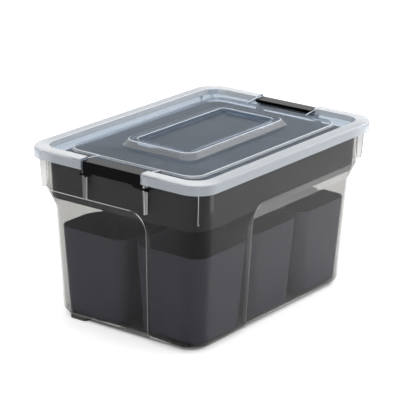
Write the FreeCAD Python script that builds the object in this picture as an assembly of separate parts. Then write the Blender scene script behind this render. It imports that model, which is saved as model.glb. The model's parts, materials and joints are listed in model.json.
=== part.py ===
import FreeCAD, Part
import math
import os

# Clip-lid storage box: a clear tub, a clear lid held by two clips, an insert tray and six loose cups.
# Millimetres. +X runs along the length, +Y across, +Z up. The origin is on the ground under the centre.

V = FreeCAD.Vector
UP = V(0, 0, 1)
DIAGONAL = math.sqrt(2.0)

# Plan of the lid, the outermost outline
lid_length = 425.0
lid_width = 303.0
lid_corner = 33.0

# Tub heights, from the ground up
foot_height = 5.0
wall_height = 159.0
shoulder_height = 24.5
collar_height = 58.0

# Tub walls, as distances in from the lid's outline
tub_wall = 2.2
tub_floor = 3.0
rim_inset = 4.5
rim_thickness = 2.6
rim_corner = 29.0
collar_inset = 12.2
tub_corner = 31.0
shoulder_step = 8.6
wall_draft = 7.7
base_round = 8.0

# Flush columns at two opposite corners and the arched edge of the recessed walls between them
column_width_end = 101.5
column_width_side = 134.5
column_draft = 12.0
arch_radius = 26.0
arch_side_lean = 0.35
arch_top_lean = 1.0
arch_reach = 60.0

# Fins under the rim at the four corners
corner_fin_thickness = 2.6
corner_fin_reach_top = 10.6
corner_fin_reach_foot = 6.2
fin_foot_gap = 1.5
fin_root = 1.0

# Feet near the ends of the two short sides, further in under the columns
foot_length = 29.0
foot_depth = 22.0
foot_corner = 5.0
foot_inset = 4.0
column_foot_setback = 10.0
foot_from_side = 52.0
foot_root = 2.0

# Lid
lid_wall = 2.2
seat_gap = 0.3
skirt_depth = 15.0
border_round = 4.0
border_width = 16.6
border_slope = 1.6
channel_drop = 8.0
panel_inset = 41.7
panel_rise = 3.4
panel_slope = 2.0
panel_corner = 22.0
boss_length = 240.0
boss_width = 128.0
boss_rise = 8.6
boss_slope = 7.0
boss_corner = 17.0
boss_ridge = 11.0
boss_sink = 5.5
boss_sink_slope = 3.0
boss_sink_corner = 9.0
notch_gap = 1.5
notch_ledge_inset = 16.5

# Clips and their hinge
clip_length = 99.0
clip_wall = 2.4
clip_height = 20.0
clip_depth = 21.0
clip_inset = 2.0
clip_drop = 3.0
clip_edge_round = 1.0
lip_gap = 0.5
cheek_depth = 8.5
hinge_inset = 7.5
hinge_below_clip = 0.5
pin_radius = 2.0
pin_clearance = 0.05
knuckle_radius = 3.4
knob_radius = 2.9
knob_length = 3.5
finger_length = 72.0
finger_height = 4.0
finger_round = 2.5
clip_fin_thickness = 2.5
clip_fin_gap = 0.8
clip_fin_reach_top = 7.5
clip_fin_reach_foot = 5.1
fin_top_gap = 1.0
snap_width = 3.4
pocket_gap = 1.8
pocket_drop = 0.6

# Insert tray
tray_depth = 52.0
tray_headroom = 10.3
tray_top_inset = 17.0
tray_corner = 29.0
tray_wall = 2.0
tray_gap = 0.4
divider_from_end = 120.5
divider_wall = 1.8

# Cups
cup_top = 116.0
cup_base = 102.0
cup_height = 124.5
cup_wall = 1.8
cup_floor = 2.0
cup_corner = 20.0
cup_columns = 3
front_row_shift = 4.5
corner_cup_shift = 3.7

# Levels worked out from the sizes above
base_z = foot_height
shoulder_foot_z = base_z + wall_height
shoulder_top_z = shoulder_foot_z + shoulder_height
rim_top_z = shoulder_top_z + collar_height
border_top_z = rim_top_z + seat_gap + lid_wall
skirt_foot_z = border_top_z - skirt_depth
channel_z = border_top_z - channel_drop
panel_z = channel_z + panel_rise
boss_top_z = panel_z + boss_rise
floor_z = base_z + tub_floor
tray_top_z = channel_z - lid_wall - tray_headroom
tray_base_z = tray_top_z - tray_depth
clip_top_z = border_top_z - clip_drop
clip_foot_z = clip_top_z - clip_height
hinge_z = clip_foot_z - hinge_below_clip
cup_base_z = floor_z + seat_gap
cup_top_z = cup_base_z + cup_height

# Insets worked out from the sizes above
wall_top_inset = collar_inset + shoulder_step
wall_foot_inset = wall_top_inset + wall_draft
column_foot_inset = collar_inset + column_draft
base_round_half = base_round * (1 - 1 / DIAGONAL)

# Corner of the lid's sunken field, which clears the inside of the collar
border_corner = tub_corner - tub_wall + seat_gap

# Places along the short ends
end_x = lid_length / 2
side_y = lid_width / 2
collar_x = end_x - collar_inset
clip_half = clip_length / 2
notch_half = clip_half + notch_gap
fin_near_y = clip_half + clip_fin_gap
fin_far_y = fin_near_y + clip_fin_thickness
knob_near_y = fin_far_y + clip_fin_gap
hinge_x = end_x - hinge_inset
big = lid_length + lid_width


def rounded_points(length, width, radius, z):
    """Corner centres of a rounded rectangle, and each corner's arc as start, middle and end points."""
    x, y = length / 2 - radius, width / 2 - radius
    centres = [V(x, -y, z), V(x, y, z), V(-x, y, z), V(-x, -y, z)]
    arcs = []
    for i, centre in enumerate(centres):
        turns = [math.radians(90 * i + degrees) for degrees in (-90, -45, 0)]
        arcs.append([centre + V(radius * math.cos(t), radius * math.sin(t), 0) for t in turns])
    return centres, arcs


def rounded_outline(length, width, radius, z):
    """Closed wire of a rectangle with round corners, centred on the Z axis."""
    arcs = rounded_points(length, width, radius, z)[1]
    edges = []
    for i, arc in enumerate(arcs):
        edges.append(Part.LineSegment(arcs[i - 1][2], arc[0]).toShape())
        edges.append(Part.Arc(*arc).toShape())
    return Part.Wire(edges)


def inset_section(inset, radius, z):
    """Rounded rectangle that lies a given distance in from the lid's outline."""
    return lid_length - 2 * inset, lid_width - 2 * inset, radius, z


def inset_outline(inset, radius, z):
    return rounded_outline(*inset_section(inset, radius, z))


def band(low, high):
    """Side faces between two rounded rectangles that share one corner radius."""
    low_centres, low_arcs = rounded_points(*low)
    high_centres, high_arcs = rounded_points(*high)
    faces = []
    for i, arc in enumerate(low_arcs):
        corners = [low_arcs[i - 1][2], arc[0], high_arcs[i][0], high_arcs[i - 1][2]]
        faces.append(Part.Face(Part.makePolygon(corners + corners[:1])))
        faces.append(Part.Arc(*arc).toShape().extrude(high_centres[i] - low_centres[i]))
    return faces


def stack(*sections):
    """Solid through a stack of rounded rectangles, from the lowest to the highest."""
    faces = [Part.Face(rounded_outline(*sections[0])), Part.Face(rounded_outline(*sections[-1]))]
    for low, high in zip(sections, sections[1:]):
        faces += band(low, high)
    shell = Part.makeShell(faces)
    shell.sewShape()
    solid = Part.makeSolid(shell)
    if solid.Volume < 0:
        solid.reverse()
    return solid


def block(outline, height):
    """Solid that rises straight up from an outline."""
    return Part.Face(outline).extrude(UP * height)


def box(x0, x1, y0, y1, z0, z1):
    return Part.makeBox(x1 - x0, y1 - y0, z1 - z0, V(x0, y0, z0))


def turned(shape, angle):
    """Copy of a shape turned about the Z axis."""
    copy = shape.copy()
    copy.rotate(V(0, 0, 0), UP, angle)
    return copy


def both_ends(shape):
    """A shape on the -X end and its twin on the +X end."""
    return [shape, turned(shape, 180)]


def shifted(shape, x, y):
    copy = shape.copy()
    copy.translate(V(x, y, 0))
    return copy


def prism(points, direction):
    """Solid swept from a flat polygon."""
    return Part.Face(Part.makePolygon(points + points[:1])).extrude(direction)


def arch_pad(offset, place):
    """Leaning cutter of one recessed wall, whose upper corner beside the column is an arch."""
    radius = arch_radius + offset
    chord = radius / DIAGONAL
    centre_u = arch_radius - arch_side_lean * collar_inset
    centre_v = shoulder_top_z - arch_radius + arch_top_lean * collar_inset
    edge_u = centre_u - radius
    top_v = centre_v + radius
    low = -foot_height
    corners = [(edge_u, low), (edge_u, centre_v), (centre_u, top_v), (big, top_v), (big, low)]
    p = [place(u, v, 0.0) for u, v in corners]
    crown = place(centre_u - chord, centre_v + chord, 0.0)
    straight = [Part.LineSegment(p[i], p[(i + 1) % len(p)]).toShape() for i in (0, 2, 3, 4)]
    outline = Part.Wire([straight[0], Part.Arc(p[1], crown, p[2]).toShape()] + straight[1:])
    lean = place(arch_side_lean * arch_reach, -arch_top_lean * arch_reach, arch_reach) - place(0.0, 0.0, 0.0)
    return Part.Face(outline).extrude(lean)


def place_on_end(u, v, depth):
    return V(depth - end_x, column_width_end - side_y + u, v)


def place_on_side(u, v, depth):
    return V(column_width_side - end_x + u, depth - side_y, v)


def round_base(inset, radius):
    """Sections of the rounded edge between the base and a wall, from the ground up."""
    steps = [(base_round, 0.0), (base_round_half, base_round_half), (0.0, base_round)]
    return [inset_section(inset + inward, radius, base_z + rise) for inward, rise in steps]


def tub_form(offset, top_z):
    """Solid of the tub's outside, or of its inside where the walls are offset."""
    corner = tub_corner - offset
    recessed = stack(
        *round_base(wall_foot_inset + offset, corner),
        inset_section(wall_top_inset + offset, corner, shoulder_foot_z),
        inset_section(collar_inset + offset, corner, shoulder_top_z),
    )
    flush = stack(
        *round_base(column_foot_inset + offset, corner),
        inset_section(collar_inset + offset, corner, shoulder_top_z),
    )
    pads = []
    for place in (place_on_end, place_on_side):
        pads += both_ends(arch_pad(offset, place))
    collar = block(inset_outline(collar_inset + offset, corner, shoulder_top_z), top_z - shoulder_top_z)
    zone_x = column_width_side + arch_reach - end_x
    zone_y = column_width_end + arch_reach - side_y
    zone = box(-big, zone_x, -big, zone_y, 0, big)
    columns = [flush.common(corner_zone).cut(pads) for corner_zone in both_ends(zone)]
    return recessed.fuse(columns + [collar])


def corner_fin(side_x, side_y_sign):
    """Diagonal web between the rim and the collar at one corner."""
    foot_z = shoulder_top_z + fin_foot_gap
    top_z = rim_top_z - rim_thickness / 2
    centre_x = end_x - collar_inset - tub_corner
    centre_y = side_y - collar_inset - tub_corner
    out = V(side_x, side_y_sign, 0) / DIAGONAL
    across = V(-side_x, side_y_sign, 0) / DIAGONAL
    start = V(side_x * centre_x, side_y_sign * centre_y, 0) - across * (corner_fin_thickness / 2)
    profile = [
        (tub_corner - fin_root, foot_z),
        (tub_corner + corner_fin_reach_foot, foot_z),
        (tub_corner + corner_fin_reach_top, top_z),
        (tub_corner - fin_root, top_z),
    ]
    points = [start + out * r + UP * z for r, z in profile]
    return prism(points, across * corner_fin_thickness)


def clip_fin(near_y):
    """Fin on the -X end that carries one hinge pin in a snap-in seat."""
    foot_z = shoulder_top_z + fin_foot_gap
    top_z = skirt_foot_z - fin_top_gap
    profile = [
        (fin_root - collar_x, foot_z),
        (-collar_x - clip_fin_reach_foot, foot_z),
        (-collar_x - clip_fin_reach_top, top_z),
        (fin_root - collar_x, top_z),
    ]
    fin = prism([V(x, near_y, z) for x, z in profile], V(0, clip_fin_thickness, 0))
    seat_radius = pin_radius + pin_clearance
    seat = Part.makeCylinder(seat_radius, big, V(-hinge_x, -big / 2, hinge_z), V(0, 1, 0))
    half = snap_width / 2
    slot = box(-end_x - big, -hinge_x, -big / 2, big / 2, hinge_z - half, hinge_z + half)
    return fin.cut([seat, slot])


def foot(side_x, side_y_sign):
    """Rounded pad under the floor at one corner."""
    setback = column_foot_setback if side_x == side_y_sign else 0.0
    centre_x = end_x - wall_foot_inset - foot_inset - setback - foot_depth / 2
    centre_y = side_y - foot_from_side - foot_length / 2
    pad = block(rounded_outline(foot_depth, foot_length, foot_corner, 0), foot_height + foot_root)
    return shifted(pad, side_x * centre_x, side_y_sign * centre_y)


def make_tub():
    outside = tub_form(0.0, rim_top_z)
    above = rim_top_z + rim_thickness
    below_floor = box(-big, big, -big, big, -big, floor_z)
    inside = tub_form(tub_wall, above).cut(below_floor)
    rim = block(inset_outline(rim_inset, rim_corner, rim_top_z - rim_thickness), rim_thickness)
    extras = [rim]
    for side_x in (-1, 1):
        for side_y_sign in (-1, 1):
            extras.append(foot(side_x, side_y_sign))
            extras.append(corner_fin(side_x, side_y_sign))
    for near_y in (fin_near_y, -fin_far_y):
        extras += both_ends(clip_fin(near_y))
    pocket_half = notch_half + lid_wall + pocket_gap
    pocket_z = clip_top_z - clip_wall - pocket_drop
    inner_x = end_x - tray_top_inset
    rim_foot_z = rim_top_z - rim_thickness
    pocket_low = box(-end_x, -inner_x, -pocket_half, pocket_half, pocket_z, above)
    pocket_rim = box(-end_x, -collar_x, -pocket_half, pocket_half, rim_foot_z, above)
    pockets = both_ends(pocket_low) + both_ends(pocket_rim)
    return outside.fuse(extras).cut([inside] + pockets).removeSplitter()


def lid_shell():
    """Skirt and raised border, as an upside-down channel round the lid."""
    outer = block(inset_outline(0, lid_corner, skirt_foot_z), skirt_depth)
    top_edges = [e for e in outer.Edges if e.BoundBox.ZMin > border_top_z - seat_gap]
    outer = outer.makeFillet(border_round, top_edges)
    under = border_top_z - lid_wall
    hollow = block(inset_outline(lid_wall, lid_corner - lid_wall, skirt_foot_z), under - skirt_foot_z)
    return outer.cut(hollow)


def lid_pan(offset, low_z):
    """Sunken field inside the border: its outside, or its hollow where offset inward."""
    inset = border_width - lid_wall + offset
    return stack(
        inset_section(inset + border_slope, border_corner - offset, low_z),
        inset_section(inset, border_corner - offset, border_top_z),
    )


def panel_form(offset, low_z, top_z):
    return stack(
        inset_section(panel_inset - panel_slope + offset, panel_corner - offset, low_z),
        inset_section(panel_inset + offset, panel_corner - offset, top_z),
    )


def boss_form(offset, low_z, top_z):
    top_length = boss_length - 2 * boss_slope - 2 * offset
    top_width = boss_width - 2 * boss_slope - 2 * offset
    return stack(
        (boss_length - 2 * offset, boss_width - 2 * offset, boss_corner - offset, low_z),
        (top_length, top_width, boss_corner - offset, top_z),
    )


def boss_dish(offset, low_z):
    """Dish sunk into the top of the boss, or its outside where offset outward."""
    margin = 2 * (boss_slope + boss_ridge - offset)
    foot_margin = margin + 2 * boss_sink_slope
    radius = boss_sink_corner + offset
    return stack(
        (boss_length - foot_margin, boss_width - foot_margin, radius, low_z),
        (boss_length - margin, boss_width - margin, radius, boss_top_z),
    )


def notch_end(near_y):
    """Wall that closes the border beside a clip notch, with a rib across to the raised panel."""
    border_x = end_x - border_width
    seat_x = collar_x + seat_gap
    panel_x = end_x - panel_inset
    pocket_z = clip_top_z - clip_wall - pocket_drop
    top_z = border_top_z - border_round / 2
    profile = [
        (-end_x, skirt_foot_z),
        (-seat_x, skirt_foot_z),
        (-seat_x, pocket_z + lip_gap),
        (-border_x, pocket_z + lip_gap),
        (-border_x, channel_z - lid_wall / 2),
        (-panel_x, channel_z - lid_wall / 2),
        (-panel_x, panel_z),
        (-border_x, top_z),
        (border_round / 2 - end_x, border_top_z),
        (-end_x, border_top_z - border_round),
    ]
    return prism([V(x, near_y, z) for x, z in profile], V(0, lid_wall, 0))


def make_lid():
    floor_under = channel_z - lid_wall
    field = lid_pan(0.0, floor_under)
    field_hollow = lid_pan(lid_wall, channel_z)
    shell = lid_shell().fuse(field).cut(field_hollow)
    panel_under = panel_z - lid_wall
    shell = shell.fuse(panel_form(0.0, channel_z - lid_wall / 2, panel_z))
    shell = shell.cut(panel_form(lid_wall, floor_under, panel_under))
    dish_z = boss_top_z - boss_sink
    boss = boss_form(0.0, panel_under, boss_top_z)
    boss_hollow = boss_form(lid_wall, panel_under, boss_top_z - lid_wall)
    boss_hollow = boss_hollow.cut(boss_dish(lid_wall, dish_z - lid_wall))
    boss = boss.cut([boss_dish(0.0, dish_z), boss_hollow])
    opening = block(rounded_outline(boss_length - 2 * lid_wall, boss_width - 2 * lid_wall,
                                    boss_corner - lid_wall, panel_under), lid_wall)
    shell = shell.cut(opening).fuse(boss)
    ledge_x = end_x - notch_ledge_inset
    field_x = end_x - border_width - border_slope - lid_wall
    notch = box(-end_x - lid_wall, -ledge_x, -notch_half, notch_half, skirt_foot_z, boss_top_z)
    above_ledge = box(-ledge_x, -field_x, -notch_half, notch_half, channel_z, boss_top_z)
    ends = []
    for near_y in (notch_half, -notch_half - lid_wall):
        ends += both_ends(notch_end(near_y))
    return shell.cut(both_ends(notch) + both_ends(above_ledge)).fuse(ends).removeSplitter()


def clip_pin(side):
    """Hinge pin with a round knob on its end, on the +Y or the -Y end of a clip."""
    start = V(-hinge_x, side * (clip_half - clip_wall), hinge_z)
    knob_start = V(-hinge_x, side * knob_near_y, hinge_z)
    along = V(0, side, 0)
    shaft = Part.makeCylinder(pin_radius, knob_near_y - clip_half + clip_wall + knob_length, start, along)
    knob = Part.makeCylinder(knob_radius, knob_length, knob_start, along)
    return shaft.fuse(knob)


def clip_cheek(near_y):
    """End plate of a clip, with a round knuckle about the pin."""
    front_x = clip_inset - end_x
    cheek = box(front_x, front_x + cheek_depth, near_y, near_y + clip_wall, clip_foot_z, clip_top_z)
    knuckle = Part.makeCylinder(knuckle_radius, clip_wall, V(-hinge_x, near_y, hinge_z), V(0, 1, 0))
    return cheek.fuse(knuckle)


def make_clip():
    """Clip on the -X end: front plate, top plate, lip over the lid's ledge, cheeks and pins."""
    front_x = clip_inset - end_x
    back_x = front_x + clip_depth
    plate_z = clip_top_z - clip_wall
    lip_z = channel_z + lip_gap
    bar = box(front_x, back_x, -clip_half, clip_half, clip_foot_z, clip_top_z)
    corner = [e for e in bar.Edges if e.BoundBox.XMax < front_x + lip_gap and e.BoundBox.ZMin > plate_z]
    bar = bar.makeFillet(clip_edge_round, corner)
    under = box(front_x + clip_wall, back_x - clip_wall, -big, big, clip_foot_z, plate_z)
    behind = box(back_x - clip_wall, back_x, -big, big, clip_foot_z, lip_z)
    finger = box(front_x, front_x + clip_wall, -finger_length / 2, finger_length / 2,
                 clip_foot_z - finger_height, clip_foot_z + finger_height)
    ends = [e for e in finger.Edges if e.BoundBox.XLength > clip_wall / 2 and e.BoundBox.ZMin > clip_foot_z]
    finger = finger.makeFillet(finger_round, ends)
    body = bar.cut([under, behind, finger])
    parts = [clip_cheek(-clip_half), clip_cheek(clip_half - clip_wall), clip_pin(-1), clip_pin(1)]
    return body.fuse(parts).removeSplitter()


def shoulder_inner_inset(z):
    """Inset of the inside of the sloping shoulder at a height."""
    return collar_inset + shoulder_step * (shoulder_top_z - z) / shoulder_height + tub_wall


def make_tray():
    """Insert tray that rests on the slope of the shoulder, with moulded dividers."""
    base_inset = shoulder_inner_inset(tray_base_z) + tray_gap
    outer = stack(
        inset_section(base_inset, tray_corner, tray_base_z),
        inset_section(tray_top_inset, tray_corner, tray_top_z),
    )
    hollow = stack(
        inset_section(base_inset + tray_wall, tray_corner - tray_wall, tray_base_z),
        inset_section(tray_top_inset + tray_wall, tray_corner - tray_wall, tray_top_z),
    )
    hollow = hollow.cut(box(-big, big, -big, big, tray_base_z, tray_base_z + tray_wall))
    half = divider_wall / 2
    cross_x = end_x - divider_from_end
    cross = box(-cross_x - half, half - cross_x, -side_y, side_y, tray_base_z, tray_top_z)
    along = box(-end_x, -cross_x, -half, half, tray_base_z, tray_top_z)
    walls = both_ends(cross) + both_ends(along)
    return outer.cut(hollow.cut(walls)).removeSplitter()


def make_cup():
    """Open cup with drafted walls, standing at the centre."""
    outer = stack(
        (cup_base, cup_base, cup_corner, cup_base_z),
        (cup_top, cup_top, cup_corner, cup_top_z),
    )
    base_inside = cup_base - 2 * cup_wall
    top_inside = cup_top - 2 * cup_wall
    hollow = stack(
        (base_inside, base_inside, cup_corner - cup_wall, cup_base_z),
        (top_inside, top_inside, cup_corner - cup_wall, cup_top_z),
    )
    return outer.cut(hollow.cut(box(-big, big, -big, big, cup_base_z, cup_base_z + cup_floor)))


def cup_places():
    """Centres of the cups: evenly spread, the front row slid along and the corner cup slid outward."""
    inset = wall_top_inset + wall_draft * (shoulder_foot_z - cup_top_z) / wall_height + tub_wall
    gap_x = (lid_length - 2 * inset - cup_columns * cup_top) / (cup_columns + 1)
    gap_y = (lid_width - 2 * inset - 2 * cup_top) / 3
    row_y = (cup_top + gap_y) / 2
    places = []
    for y, slide in ((-row_y, front_row_shift), (row_y, 0.0)):
        for column in range(cup_columns):
            x = (column - (cup_columns - 1) / 2) * (cup_top + gap_x) + slide
            corner = column == 0 and y < 0
            places.append((x, y - corner_cup_shift if corner else y))
    return places


def export(name, shape):
    shape.exportStep("parts/" + name + ".step")


os.makedirs("parts", exist_ok=True)
export("tub", make_tub())
export("lid", make_lid())
clip_left, clip_right = both_ends(make_clip())
export("clip_left", clip_left)
export("clip_right", clip_right)
export("tray", make_tray())
for number, (cup_x, cup_y) in enumerate(cup_places(), start=1):
    export("cup_" + str(number), shifted(make_cup(), cup_x, cup_y))
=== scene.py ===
import json
import math

import bmesh
import bpy
from mathutils import Matrix, Vector


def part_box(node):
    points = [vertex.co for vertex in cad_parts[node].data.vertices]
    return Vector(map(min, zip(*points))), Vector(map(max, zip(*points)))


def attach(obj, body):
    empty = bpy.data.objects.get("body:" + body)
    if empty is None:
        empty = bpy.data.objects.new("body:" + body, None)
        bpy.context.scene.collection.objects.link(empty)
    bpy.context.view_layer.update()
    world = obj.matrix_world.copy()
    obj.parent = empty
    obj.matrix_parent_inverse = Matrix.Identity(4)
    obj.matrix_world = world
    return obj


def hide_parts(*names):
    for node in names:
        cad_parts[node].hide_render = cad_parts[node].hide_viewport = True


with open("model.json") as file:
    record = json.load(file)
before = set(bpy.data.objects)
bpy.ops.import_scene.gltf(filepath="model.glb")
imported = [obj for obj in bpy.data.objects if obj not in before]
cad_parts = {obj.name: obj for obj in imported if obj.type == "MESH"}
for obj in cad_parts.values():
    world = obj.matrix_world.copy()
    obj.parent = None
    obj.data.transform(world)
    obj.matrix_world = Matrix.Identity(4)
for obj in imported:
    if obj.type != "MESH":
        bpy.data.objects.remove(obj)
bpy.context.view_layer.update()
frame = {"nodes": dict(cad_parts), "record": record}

# Camera, from the photograph's viewing angle
view_azimuth = math.radians(-53.47)
view_elevation = math.radians(18.38)
view_roll = math.radians(0.85)
view_target = Vector((0.0562, 0.0505, 0.1220))
view_distance = 2.957
sensor_width_mm = 36.0
lens_mm = 182.9

# Floor and surrounding light
floor_size = 12.0
floor_grey = 0.95
floor_glow = 0.44
glow_edge = (-0.014, -0.008)  # where the glow begins and is full, outward from the outline of the base
world_level = 0.62
white = (1.0, 1.0, 1.0, 1.0)

# How far each rounding of moulded edges reaches from its edge
tub_rounding = 0.0005
lid_rounding = 0.0008
boss_rounding = 0.0006
insert_rounding = 0.0006
clip_rounding = 0.0003

# How meshes are cleaned and edges rounded, and how much room a rounding needs for its reach
edge_segments = 3
edge_room = 1.8
face_room = 0.55
weld_distance = 2e-6
flat_angle = math.radians(0.5)
sharp_angle = math.radians(30.0)
smooth_angle = math.radians(40.0)

# Places of the zones that have a finish of their own
corner_radius = 0.033  # of the lid's outline seen from above, and near enough of the base's
border_zone = 0.0222  # width of the lid's border
boss_zone = 0.0005  # depth under the lid's top within which a point is on the top of the boss
boss_height = 0.0090  # depth under the lid's top within which a point is on the boss
end_highlight_zone = (0.165, 0.195)  # along the length, where the painted highlight on the lid's border begins and where it is full
ground_zone = 0.0005  # height within which a point is on the ground
foot_zone = 0.0072  # height up to which the tub's edges stay sharp, round its feet and underside
base_zone = 0.008  # height up to which points count for the outline of the base
arch_zone = 0.100  # height over which the arches and the shoulder lie
side_margin = 0.060  # in from the tub's ends, clear of its corner columns
end_margin = 0.030  # in from the tub's sides, clear of its corner columns
rim_margin = 0.030  # down from the tub's top, clear of its rim

# Slopes of those zones, as parts of a face's normal along an axis
level_slope = 0.5
fin_slope = 0.85
riser_slope = 0.9
shoulder_slope = 0.25

tub_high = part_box("tub")[1]
lid_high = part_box("lid")[1]
slots = {part["node"]: part["material_slot"] for part in frame["record"]["subparts"]}


def new_material(name):
    """Node material with one Principled shader; returns the material, its nodes, links and shader."""
    material = bpy.data.materials.new(name)
    material.use_nodes = True
    nodes = material.node_tree.nodes
    return material, nodes, material.node_tree.links, nodes["Principled BSDF"]


def set_inputs(shader, **values):
    """Sets sockets of a shader by name, with _ for a space."""
    for name, value in values.items():
        shader.inputs[name.replace("_", " ")].default_value = value


def grey(level):
    return level, level, level


def noise(nodes, links, scale, detail=2.0, stretch=(1.0, 1.0, 1.0)):
    """Noise in the object's own frame, with its cells drawn out along an axis."""
    where = nodes.new("ShaderNodeTexCoord")
    mapping = nodes.new("ShaderNodeMapping")
    mapping.inputs["Scale"].default_value = stretch
    texture = nodes.new("ShaderNodeTexNoise")
    set_inputs(texture, Scale=scale, Detail=detail)
    links.new(where.outputs["Object"], mapping.inputs["Vector"])
    links.new(mapping.outputs["Vector"], texture.inputs["Vector"])
    return texture.outputs["Fac"]


def spread(nodes, links, source, low, high, start=0.0, end=1.0):
    """Maps a pattern from one range, 0 to 1 if none is given, onto another."""
    node = nodes.new("ShaderNodeMapRange")
    set_inputs(node, From_Min=start, From_Max=end, To_Min=low, To_Max=high)
    links.new(source, node.inputs["Value"])
    return node.outputs["Result"]


def bump(nodes, links, shader, source, strength, depth):
    """Relief that follows a pattern."""
    node = nodes.new("ShaderNodeBump")
    set_inputs(node, Strength=strength, Distance=depth)
    links.new(source, node.inputs["Height"])
    links.new(node.outputs["Normal"], shader.inputs["Normal"])


def two_tone(nodes, links, shader, source, dark, light):
    """Colour that wanders between two tones."""
    ramp = nodes.new("ShaderNodeValToRGB")
    ramp.color_ramp.elements[0].color = (*dark, 1.0)
    ramp.color_ramp.elements[1].color = (*light, 1.0)
    links.new(source, ramp.inputs["Fac"])
    links.new(ramp.outputs["Color"], shader.inputs["Base Color"])


def lets_lamps_through(nodes, links, shader, tint):
    """Rays from the lamps pass the clear wall, so that what stands behind it is lit."""
    clear = nodes.new("ShaderNodeBsdfTransparent")
    set_inputs(clear, Color=(*tint, 1.0))
    path = nodes.new("ShaderNodeLightPath")
    mix = nodes.new("ShaderNodeMixShader")
    links.new(path.outputs["Is Shadow Ray"], mix.inputs["Fac"])
    links.new(shader.outputs["BSDF"], mix.inputs[1])
    links.new(clear.outputs["BSDF"], mix.inputs[2])
    links.new(mix.outputs["Shader"], nodes["Material Output"].inputs["Surface"])


def melt_flow(nodes, links):
    """Slow wandering, as the melt flowed in the mould."""
    return noise(nodes, links, scale=9.0, detail=3.0, stretch=(1.0, 1.0, 0.35))


def painted_highlight_toward_ends(nodes, links):
    """0 along the object and 1 at its two ends, by the clips, where the lid's border is whitened with
    painted highlight.
    """
    where = nodes.new("ShaderNodeTexCoord")
    split = nodes.new("ShaderNodeSeparateXYZ")
    size = nodes.new("ShaderNodeMath")
    size.operation = "ABSOLUTE"
    links.new(where.outputs["Object"], split.inputs["Vector"])
    links.new(split.outputs["X"], size.inputs[0])
    return spread(nodes, links, size.outputs["Value"], 0.0, 1.0, *end_highlight_zone)


def clear_plastic(name, tints, transmission, ior, roughness, lamp_tint, pattern=melt_flow):
    """Clear or milky plastic whose tint and haze wander with a pattern."""
    material, nodes, links, shader = new_material(name)
    set_inputs(shader, Transmission_Weight=transmission, IOR=ior)
    flow = pattern(nodes, links)
    two_tone(nodes, links, shader, flow, *tints)
    links.new(spread(nodes, links, flow, *roughness), shader.inputs["Roughness"])
    lets_lamps_through(nodes, links, shader, lamp_tint)
    return material


def dark_plastic(name, tones, roughness):
    """Charcoal moulded plastic with a fine matt grain."""
    material, nodes, links, shader = new_material(name)
    cloud = noise(nodes, links, scale=14.0, detail=4.0)
    two_tone(nodes, links, shader, cloud, *tones)
    grain = noise(nodes, links, scale=900.0)
    links.new(spread(nodes, links, cloud, *roughness), shader.inputs["Roughness"])
    bump(nodes, links, shader, grain, strength=0.02, depth=0.0002)
    return material


def clip_plastic(name, gloss):
    """Black plastic with fine lines along the clip."""
    material, nodes, links, shader = new_material(name)
    lines = noise(nodes, links, scale=60.0, detail=3.0, stretch=(22.0, 0.35, 22.0))
    two_tone(nodes, links, shader, lines, dark=(0.002, 0.002, 0.0025), light=(0.005, 0.005, 0.006))
    set_inputs(shader, Specular_IOR_Level=gloss)
    links.new(spread(nodes, links, lines, low=0.12, high=0.22), shader.inputs["Roughness"])
    bump(nodes, links, shader, lines, strength=0.1, depth=0.0002)
    return material


def lowest(part):
    """Least height of an edge or a face."""
    return min(vert.co.z for vert in part.verts)


def highest(part):
    """Greatest height of an edge or a face."""
    return max(vert.co.z for vert in part.verts)


def is_sharp(edge):
    return edge.calc_face_angle(0.0) > sharp_angle


def looks_up(edge):
    """Whether the faces at an edge look more up than down."""
    return sum(face.normal.z for face in edge.link_faces) > 0.0


def on_top(edge):
    """Whether an edge stands out sharply on the upper side."""
    return edge.calc_face_angle_signed(0.0) > sharp_angle and looks_up(edge)


def on_boss(edge):
    """Whether an edge runs round the top of the lid's boss."""
    return on_top(edge) and lowest(edge) > lid_high.z - boss_zone


def at_boss_foot(edge):
    """Whether an edge runs in a sharp hollow, at the foot of the boss or in its dish."""
    hollow = edge.calc_face_angle_signed(0.0) < -sharp_angle and looks_up(edge)
    return hollow and lowest(edge) > lid_high.z - boss_height


def looks_outward(face):
    """Whether a face looks away from the upright line through the middle of the object."""
    middle = face.calc_center_median()
    return face.normal.x * middle.x + face.normal.y * middle.y > 0.0


def on_shoulder(face):
    """Whether a face lies on the outer side of the tub's sloping shoulder."""
    sloping = -level_slope < face.normal.z < -shoulder_slope
    return sloping and face.calc_center_median().z > arch_zone and looks_outward(face)


def over_shoulder(edge):
    """Whether an edge parts the collar from the shoulder at an end of the tub."""
    for face in edge.link_faces:
        if on_shoulder(face) and abs(face.normal.x) > abs(face.normal.y):
            return lowest(edge) > face.calc_center_median().z
    return False


def on_tub_outside(edge):
    """Whether an edge over the feet, sharp or over the shoulder, lies on the tub's outer side."""
    larger = max(edge.link_faces, key=lambda face: face.calc_area())
    outside = looks_outward(larger) and lowest(edge) > foot_zone
    return outside and (is_sharp(edge) or over_shoulder(edge))


def lid_inset(point):
    """Distance in from the lid's outline, a rounded rectangle."""
    x = abs(point.x) - (lid_high.x - corner_radius)
    y = abs(point.y) - (lid_high.y - corner_radius)
    return corner_radius - math.hypot(max(x, 0.0), max(y, 0.0)) - min(max(x, y), 0.0)


def lid_zone(face):
    """Frosted skirt and riser of the panel, hazy wall of the boss, whiter border with painted highlight
    towards its ends, and the rest clear.
    """
    if all(lid_inset(vert.co) <= border_zone for vert in face.verts):
        return "border" if face.normal.z > level_slope else "frosted"
    if not looks_outward(face) or not 0.0 < face.normal.z < riser_slope:
        return "clear"
    return "boss" if highest(face) > lid_high.z - boss_zone else "frosted"


def clip_zone(face):
    """The clip's upper side is worn glossy."""
    return "top" if face.normal.z > level_slope else "plain"


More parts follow.
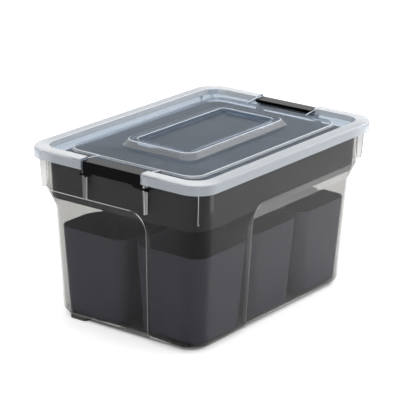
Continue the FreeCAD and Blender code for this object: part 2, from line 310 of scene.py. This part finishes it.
def tub_zone(face):
    """Feet darkened with painted shade, steps, arches and sides of the fins lightened with painted
    highlight, and a shoulder along each side lightened with painted sheen.
    """
    normal = face.normal
    middle = face.calc_center_median()
    # faces on the ground get the feet's painted shade
    if lowest(face) < ground_zone:
        return "foot"
    # steps, arches and fin sides get the painted highlight
    across_side = abs(normal.x) > fin_slope and abs(middle.x) < tub_high.x - side_margin
    across_end = abs(normal.y) > fin_slope and abs(middle.y) < tub_high.y - end_margin
    under_arch = abs(normal.z) > level_slope and arch_zone < middle.z < tub_high.z - rim_margin
    if across_side or across_end or under_arch:
        return "step"
    # the shoulder along each side gets the painted sheen
    return "shoulder" if on_shoulder(face) and abs(normal.y) > abs(normal.x) else "clear"


def plain_zone(face):
    return "plain"


def roomy(edge, reach):
    """Whether an edge and the faces beside it leave room for a rounding."""
    for vert in edge.verts:
        if any(other.calc_length() < edge_room * reach for other in vert.link_edges):
            return False
    return all(face.calc_area() > face_room * reach * face.calc_perimeter() for face in edge.link_faces)


def round_edges(shape, reach, pick_edge, strip_index):
    """Rounds the picked edges that have room for it. The strips take the material at an index."""
    edges = [edge for edge in shape.edges if pick_edge(edge) and roomy(edge, reach)]
    bmesh.ops.bevel(shape, geom=edges, offset=reach, offset_type="OFFSET", segments=edge_segments,
                    profile=0.5, affect="EDGES", clamp_overlap=False, material=strip_index)


def rounded_copy(node, looks, pick_zone, roundings):
    """Stands for a CAD node, with a look for each zone and with edges rounded by each rule in turn."""
    zones = list(looks)
    shape = bmesh.new()
    shape.from_mesh(frame["nodes"][node].data)
    bmesh.ops.remove_doubles(shape, verts=shape.verts, dist=weld_distance)
    bmesh.ops.dissolve_limit(shape, angle_limit=flat_angle, verts=shape.verts, edges=shape.edges)
    for face in shape.faces:
        face.smooth = True
        face.material_index = zones.index(pick_zone(face))
    for reach, pick_edge, strip_zone in roundings:
        round_edges(shape, reach, pick_edge, zones.index(strip_zone))
    bmesh.ops.remove_doubles(shape, verts=shape.verts, dist=weld_distance)
    mesh = bpy.data.meshes.new(node + "_rounded")
    shape.to_mesh(mesh)
    shape.free()
    for material in looks.values():
        mesh.materials.append(material)
    mesh.set_sharp_from_angle(angle=smooth_angle)
    piece = bpy.data.objects.new(node + "_rounded", mesh)
    bpy.context.scene.collection.objects.link(piece)
    weighted = piece.modifiers.new("flat_faces", "WEIGHTED_NORMAL")
    weighted.keep_sharp = True
    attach(piece, node)
    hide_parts(node)


def add_tub():
    """Clear tub whose steps, arches and outer edges are lightened with painted highlight, with painted
    shade on its feet and painted sheen on its shoulders.
    """
    looks = {
        "clear": clear_plastic(
            "tub_clear", tints=((0.53, 0.527, 0.515), (0.59, 0.586, 0.575)), transmission=1.0,
            ior=1.20, roughness=(0.02, 0.05), lamp_tint=grey(0.82)),
        # milky edge strips, partly the plastic's own milkiness and partly painted highlight along the
        # rounded edges
        "milky": clear_plastic(
            "tub_milky_painted_highlight", tints=((0.90, 0.90, 0.89), (0.96, 0.96, 0.95)), transmission=0.10,
            ior=1.40, roughness=(0.25, 0.35), lamp_tint=grey(0.70)),
        # painted shade: the feet are darkened to stand in for the shadow under the tub
        "foot": clear_plastic(
            "tub_foot_painted_shade", tints=((0.08, 0.078, 0.068), (0.12, 0.117, 0.105)), transmission=0.50,
            ior=1.30, roughness=(0.25, 0.35), lamp_tint=grey(0.40)),
        # painted sheen: the shoulder along each side is lightened as if by light falling on its slope
        "shoulder": clear_plastic(
            "tub_shoulder_painted_sheen", tints=((0.62, 0.616, 0.605), (0.68, 0.676, 0.665)), transmission=0.76,
            ior=1.20, roughness=(0.06, 0.10), lamp_tint=grey(0.82)),
        # painted highlight: steps, arches and fin sides are lightened to stand in for the bright lines
        # they show in the light
        "step": clear_plastic(
            "tub_step_painted_highlight", tints=((0.74, 0.74, 0.73), (0.82, 0.82, 0.81)), transmission=0.58,
            ior=1.30, roughness=(0.12, 0.20), lamp_tint=grey(0.75)),
    }
    # the rounded outer edges take the milky strips, which carry painted highlight
    rounded_copy("tub", looks, tub_zone, [(tub_rounding, on_tub_outside, "milky")])


def add_lid():
    """Bluish lid, clear in its field and frosted at its skirt and border."""
    bluish = (0.80, 0.82, 0.84)
    looks = {
        "clear": clear_plastic(
            "lid_clear", tints=((0.58, 0.67, 0.79), (0.64, 0.73, 0.84)), transmission=0.945,
            ior=1.08, roughness=(0.03, 0.06), lamp_tint=bluish),
        # milky edge strips, partly the plastic's own milkiness and partly painted highlight along the
        # rounded edges
        "milky": clear_plastic(
            "lid_milky_painted_highlight", tints=((0.84, 0.87, 0.90), (0.91, 0.93, 0.95)), transmission=0.25,
            ior=1.45, roughness=(0.25, 0.35), lamp_tint=(0.75, 0.77, 0.80)),
        "frosted": clear_plastic(
            "lid_frosted", tints=((0.70, 0.75, 0.80), (0.76, 0.80, 0.84)), transmission=0.62,
            ior=1.35, roughness=(0.10, 0.18), lamp_tint=bluish),
        # the border's own white tone, made whiter towards the ends with painted highlight
        "border": clear_plastic(
            "lid_top", tints=((0.58, 0.61, 0.64), (0.82, 0.83, 0.85)), transmission=0.35,
            ior=1.35, roughness=(0.14, 0.22), lamp_tint=bluish, pattern=painted_highlight_toward_ends),
        "boss": clear_plastic(
            "lid_boss", tints=((0.66, 0.70, 0.74), (0.74, 0.77, 0.80)), transmission=0.72,
            ior=1.30, roughness=(0.08, 0.14), lamp_tint=bluish),
    }
    # the rounded top and boss edges take the milky strips, which carry painted highlight
    rounded_copy("lid", looks, lid_zone, [
        (lid_rounding, on_top, "milky"),
        (boss_rounding, on_boss, "milky"),
        (lid_rounding, at_boss_foot, "boss"),
    ])


def add_tray():
    """Charcoal insert tray."""
    tones = ((0.005, 0.005, 0.008), (0.009, 0.009, 0.013))
    looks = {"plain": dark_plastic("tray_plastic", tones, roughness=(0.40, 0.55))}
    rounded_copy("tray", looks, plain_zone, [(insert_rounding, is_sharp, "plain")])


def add_clips():
    """Black clips with glossier edges and tops."""
    looks = {
        "plain": clip_plastic("clip_plastic", gloss=0.03),
        "edge": clip_plastic("clip_edge", gloss=0.25),
        "top": clip_plastic("clip_top", gloss=0.15),
    }
    for node in slots:
        if node.startswith("clip_"):
            rounded_copy(node, looks, clip_zone, [(clip_rounding, is_sharp, "edge")])


def add_cups():
    """Charcoal blue-grey cups."""
    tones = ((0.038, 0.040, 0.071), (0.050, 0.053, 0.092))
    looks = {"plain": dark_plastic("cup_plastic", tones, roughness=(0.42, 0.58))}
    for node in slots:
        if node.startswith("cup_"):
            rounded_copy(node, looks, plain_zone, [(insert_rounding, is_sharp, "plain")])


def add_camera():
    """Camera at the photograph's angle, turned a little about its line of sight."""
    back = Vector((
        math.sin(view_azimuth) * math.cos(view_elevation),
        -math.cos(view_azimuth) * math.cos(view_elevation),
        math.sin(view_elevation),
    ))
    level = Vector((math.cos(view_azimuth), math.sin(view_azimuth), 0.0))
    upright = back.cross(level)
    right = level * math.cos(view_roll) + upright * math.sin(view_roll)
    up = upright * math.cos(view_roll) - level * math.sin(view_roll)
    data = bpy.data.cameras.new("camera")
    data.sensor_width = sensor_width_mm
    data.lens = lens_mm
    camera = bpy.data.objects.new("camera", data)
    turn = Matrix((right, up, back)).transposed().to_4x4()
    camera.matrix_world = Matrix.Translation(view_target + back * view_distance) @ turn
    bpy.context.scene.collection.objects.link(camera)
    bpy.context.scene.camera = camera


def seen_or_mirrored(nodes, links):
    """1 for rays that the eye, a reflection or a clear wall sends, else 0."""
    path = nodes.new("ShaderNodeLightPath")
    result = path.outputs["Is Camera Ray"]
    for name in ("Is Glossy Ray", "Is Transmission Ray"):
        either = nodes.new("ShaderNodeMath")
        either.operation = "MAXIMUM"
        links.new(result, either.inputs[0])
        links.new(path.outputs[name], either.inputs[1])
        result = either.outputs["Value"]
    return result


def beside_object(nodes, links):
    """The floor's glow, none under the object and full beside the outline of its base."""
    base = [vert.co for vert in frame["nodes"]["tub"].data.vertices if vert.co.z < base_zone]
    core = (max(co.x for co in base) - corner_radius, max(co.y for co in base) - corner_radius, 0.0)
    where = nodes.new("ShaderNodeTexCoord").outputs["Object"]
    for operation, other in (("ABSOLUTE", None), ("SUBTRACT", core), ("MAXIMUM", (0.0, 0.0, 0.0))):
        step = nodes.new("ShaderNodeVectorMath")
        step.operation = operation
        links.new(where, step.inputs[0])
        if other:
            step.inputs[1].default_value = other
        where = step.outputs["Vector"]
    distance = nodes.new("ShaderNodeVectorMath")
    distance.operation = "LENGTH"
    links.new(where, distance.inputs[0])
    inner, outer = (corner_radius + edge for edge in glow_edge)
    return spread(nodes, links, distance.outputs["Value"], 0.0, floor_glow, inner, outer)


def add_floor():
    """White floor that glows beside the object, so that it looks white up to the contact shadow."""
    half = floor_size / 2
    corners = [(-half, -half, 0), (half, -half, 0), (half, half, 0), (-half, half, 0)]
    mesh = bpy.data.meshes.new("floor")
    mesh.from_pydata(corners, [], [(0, 1, 2, 3)])
    floor = bpy.data.objects.new("floor", mesh)
    bpy.context.scene.collection.objects.link(floor)
    material, nodes, links, shader = new_material("floor")
    set_inputs(shader, Base_Color=(*grey(floor_grey), 1.0), Roughness=0.9, Specular_IOR_Level=0.0)
    set_inputs(shader, Emission_Color=white)
    glow = nodes.new("ShaderNodeMath")
    glow.operation = "MULTIPLY"
    links.new(seen_or_mirrored(nodes, links), glow.inputs[0])
    links.new(beside_object(nodes, links), glow.inputs[1])
    links.new(glow.outputs["Value"], shader.inputs["Emission Strength"])
    mesh.materials.append(material)


def add_world():
    """Even light from all round, seen as plain white."""
    world = bpy.data.worlds.new("studio")
    bpy.context.scene.world = world
    world.use_nodes = True
    nodes, links = world.node_tree.nodes, world.node_tree.links
    background = nodes["Background"]
    set_inputs(background, Color=white)
    level = spread(nodes, links, seen_or_mirrored(nodes, links), world_level, 1.0)
    links.new(level, background.inputs["Strength"])


def add_lamp(name, place, target, size, power):
    """Flat lamp that looks at a target."""
    data = bpy.data.lights.new(name, "AREA")
    data.shape = "RECTANGLE"
    data.size, data.size_y = size
    data.energy = power
    lamp = bpy.data.objects.new(name, data)
    lamp.location = place
    lamp.rotation_euler = (Vector(target) - Vector(place)).to_track_quat("-Z", "Y").to_euler()
    bpy.context.scene.collection.objects.link(lamp)


bpy.context.scene.view_settings.view_transform = "Standard"
add_camera()
add_floor()
add_world()
add_lamp("overhead", place=(0.0, 0.1, 3.0), target=(0.0, 0.0, 0.0), size=(1.6, 1.6), power=38.0)
add_lamp("front_right", place=(1.6, -1.2, 0.75), target=(0.0, -0.1, 0.12), size=(1.8, 1.2), power=16.0)

add_tub()
add_lid()
add_tray()
add_clips()
add_cups()
